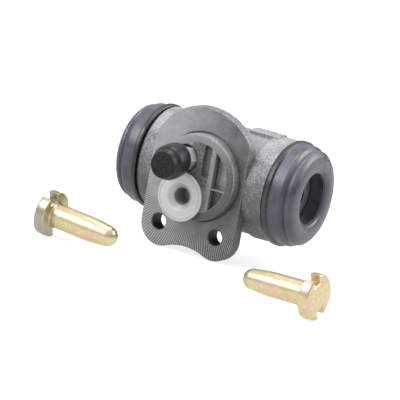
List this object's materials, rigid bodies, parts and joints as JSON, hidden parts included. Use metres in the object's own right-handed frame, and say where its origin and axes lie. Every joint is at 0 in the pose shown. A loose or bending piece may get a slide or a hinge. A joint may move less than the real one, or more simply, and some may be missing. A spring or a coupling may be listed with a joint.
{
  "type": "wheel cylinder",
  "caption": "Flanged hydraulic drum-brake wheel cylinder with opposed pistons, rubber dust boots, bleed screw with cap, and loose slotted push pins.",
  "frame": {"origin": "where the pilot's axis meets the mounting face", "axes": "+X along the bore towards the right-hand boot, -Y out of the mounting face, +Z away from the two ears"},
  "size_m": [0.1236, 0.0886, 0.0565],
  "materials": {
    "cast_body": "grey casting, machined mounting face and port boss",
    "spring_steel": "oiled spring wire",
    "zinc_steel": "bright zinc plate",
    "cap_rubber": "satin black rubber",
    "yellow_zinc": "iridescent yellow zinc plate",
    "piston_alloy": "dark anodised, turned",
    "seal_rubber": "smooth black rubber",
    "sheet_brass": "pressed sheet",
    "boot_rubber": "satin blue-grey moulded rubber"
  },
  "bodies": {
    "housing": {"cylinder_body": "cast_body", "boot_left": "boot_rubber", "boot_right": "boot_rubber", "return_spring": "spring_steel", "push_pin_left": "yellow_zinc", "push_pin_right": "yellow_zinc"},
    "left_piston": {"piston_left": "piston_alloy", "cup_left": "seal_rubber", "expander_left": "sheet_brass"},
    "right_piston": {"piston_right": "piston_alloy", "cup_right": "seal_rubber", "expander_right": "sheet_brass"},
    "bleeder_dust_cap": {"bleeder_cap": "cap_rubber"},
    "bleeder": {"bleeder_screw": "zinc_steel"}
  },
  "joints": [
    {"name": "left_piston_slide", "type": "slide", "parent": "housing", "child": "left_piston", "axis": [-1, 0, 0], "range_m": [-0.0058, 0.0042], "deforming": ["boot_left", "return_spring"]},
    {"name": "right_piston_slide", "type": "slide", "parent": "housing", "child": "right_piston", "axis": [1, 0, 0], "range_m": [-0.004, 0.006], "deforming": ["boot_right", "return_spring"]},
    {"name": "bleeder_lift", "type": "slide", "parent": "housing", "child": "bleeder_dust_cap", "axis": [0, -1, 0], "range_m": [0, 0.001]},
    {"name": "bleeder_turn", "type": "hinge", "parent": "bleeder_dust_cap", "child": "bleeder", "pos_m": [-0.0056, -0.004, 0.0061], "axis": [0, -1, 0], "range_deg": [0, 360]}
  ],
  "couplings": [
    {"joint": "bleeder_turn", "follows": "bleeder_lift", "rad_per_m": 6283.2}
  ]
}
